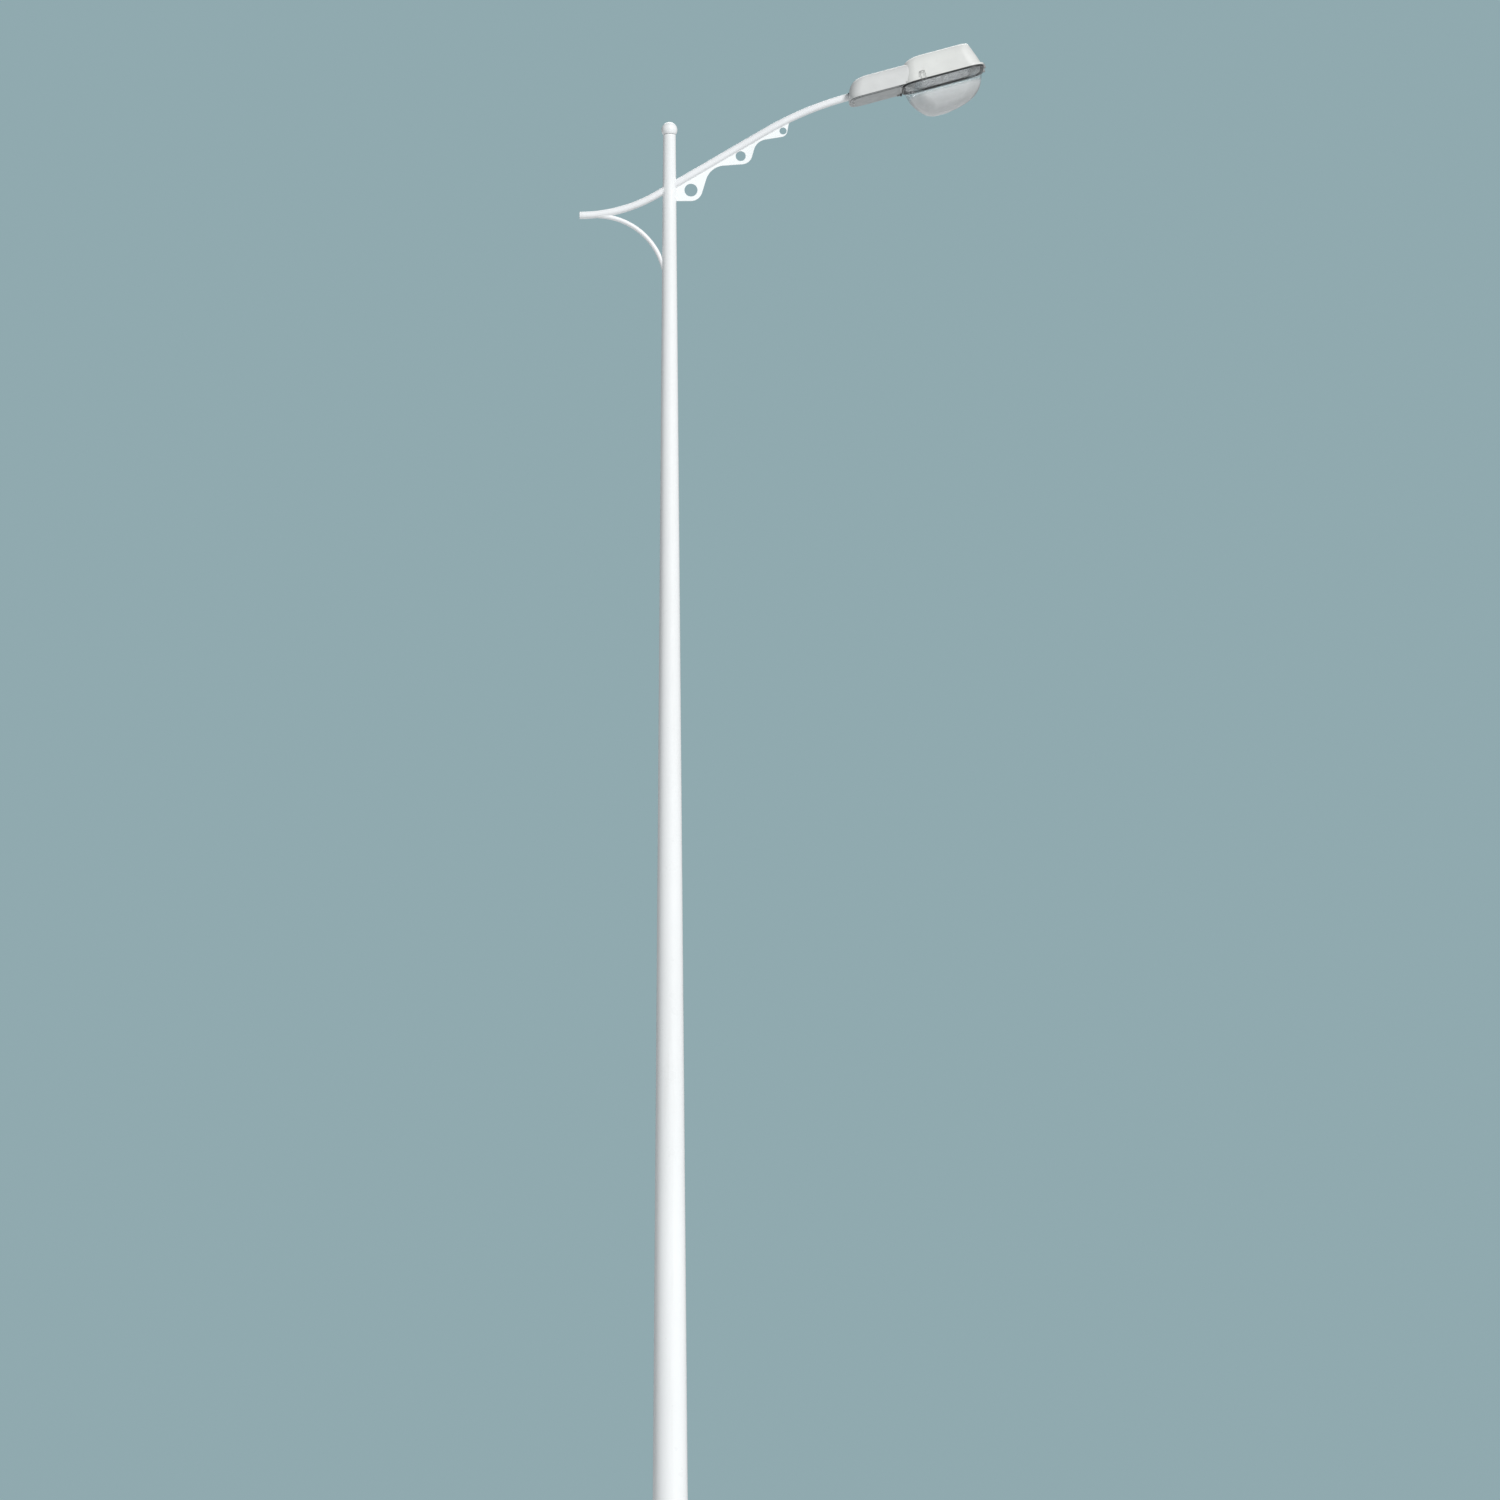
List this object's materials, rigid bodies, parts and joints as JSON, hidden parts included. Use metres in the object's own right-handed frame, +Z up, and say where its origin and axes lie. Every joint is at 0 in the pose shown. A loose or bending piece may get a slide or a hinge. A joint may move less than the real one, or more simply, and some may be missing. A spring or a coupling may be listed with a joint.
{
  "type": "street lamp post",
  "caption": "Conical street lamp post with a curved outreach arm, lobed gusset and brace, and a tilted side-entry road luminaire with a deep clear bowl.",
  "frame": {"origin": "on the column's axis at the underside of the base plate, at the middle of the four anchor bolts", "axes": "+Z up along the column, +X towards the luminaire, -Y the side of the access door"},
  "size_m": [2.3831, 0.4, 9.4531],
  "materials": {
    "column_paint": "gloss",
    "arm_paint": "gloss",
    "gusset_paint": "gloss",
    "canopy_shell": "satin",
    "housing_shell": "satin",
    "cover_shell": "satin",
    "zinc_steel": "galvanised",
    "stainless": "bright",
    "cast_alloy": "as cast",
    "mirror_aluminium": "hammered bright",
    "frame_black": "satin black",
    "black_steel": "blackened",
    "satin_plate": "satin",
    "black_rubber": "matte",
    "clear_bowl": "clear, slightly hazy",
    "lamp_glass": "clear",
    "arc_ceramic": "translucent white",
    "porcelain": "glazed",
    "cap_brass": "nickel plated",
    "stud_brass": "plain",
    "copper_winding": "varnished wire",
    "core_steel": "lacquered laminations",
    "grey_plastic": "matte",
    "black_plastic": "matte",
    "ignitor_plastic": "matte",
    "cable_sheath": "matte",
    "lead_sleeve": "matte"
  },
  "bodies": {
    "post": {"base_plate": "column_paint", "base_ribs": "column_paint", "pole_base_section": "column_paint", "pole_shaft": "column_paint", "pole_cap": "column_paint", "ball_finial": "column_paint", "arm_tube": "arm_paint", "arm_end_plug": "arm_paint", "arm_gusset": "gusset_paint", "arm_brace": "arm_paint", "door_frame": "column_paint", "frame_hinge_leaves": "stainless", "door_hinge_pins": "stainless", "equipment_board": "zinc_steel", "board_brackets": "zinc_steel", "mounting_rail": "zinc_steel", "breaker_body": "grey_plastic", "column_terminals": "black_plastic", "earth_stud": "stud_brass", "supply_cable": "cable_sheath", "canopy": "canopy_shell", "canopy_rim": "canopy_shell", "canopy_gasket": "black_rubber", "rear_housing": "housing_shell", "spigot_seal": "black_rubber", "spigot_saddle": "cast_alloy", "spigot_strap": "zinc_steel", "spigot_bolts": "stainless", "gear_tray": "zinc_steel", "housing_screws": "stainless", "ballast_core": "core_steel", "ballast_winding": "copper_winding", "ignitor": "ignitor_plastic", "capacitor": "cast_alloy", "lamp_terminals": "ignitor_plastic", "lamp_lead": "lead_sleeve", "lead_grommet": "black_rubber", "holder_bracket": "zinc_steel", "lampholder": "porcelain", "lamp_cap": "cap_brass", "bulb_glass": "lamp_glass", "arc_tube": "arc_ceramic", "reflector": "mirror_aluminium", "reflector_plate": "satin_plate", "cover_hinge_brackets": "black_steel", "bowl_hinge_brackets": "stainless", "luminaire_hinge_pins": "stainless"},
    "access_door": {"access_door": "column_paint", "door_seal": "black_rubber", "door_hinge_leaves": "stainless"},
    "door_lock": {"lock_barrel": "stainless", "lock_cam": "zinc_steel"},
    "breaker_lever": {"breaker_lever": "black_plastic"},
    "gear_cover": {"gear_cover": "cover_shell", "cover_seal": "black_rubber", "cover_screw": "stainless"},
    "bowl_frame": {"bowl_frame": "frame_black", "bowl": "clear_bowl"},
    "clip_near": {"clip_near": "stainless"},
    "clip_far": {"clip_far": "stainless"}
  },
  "joints": [
    {"name": "door_hinge", "type": "hinge", "parent": "post", "child": "access_door", "pos_m": [-0.0597, -0.0924, 0.68], "axis": [0, 0, -1], "range_deg": [0, 110]},
    {"name": "lock_turn", "type": "hinge", "parent": "access_door", "child": "door_lock", "pos_m": [0.03, -0.095, 0.68], "axis": [0, 1, 0], "range_deg": [0, 90]},
    {"name": "breaker_throw", "type": "hinge", "parent": "post", "child": "breaker_lever", "pos_m": [-0.022, -0.034, 0.7], "axis": [1, 0, 0], "range_deg": [0, 60]},
    {"name": "cover_hinge", "type": "hinge", "parent": "post", "child": "gear_cover", "pos_m": [1.36329, 0, 9.183], "axis": [0, -1, 0], "range_deg": [0, 85]},
    {"name": "bowl_hinge", "type": "hinge", "parent": "post", "child": "bowl_frame", "pos_m": [1.85011, 0, 9.31344], "axis": [0, -1, 0], "range_deg": [0, 85]},
    {"name": "clip_near_pivot", "type": "hinge", "parent": "bowl_frame", "child": "clip_near", "pos_m": [1.49317, -0.181, 9.21987], "axis": [0.9659, 0, 0.2588], "range_deg": [0, 100]},
    {"name": "clip_far_pivot", "type": "hinge", "parent": "bowl_frame", "child": "clip_far", "pos_m": [1.49317, 0.181, 9.21987], "axis": [-0.9659, 0, -0.2588], "range_deg": [0, 100]}
  ]
}
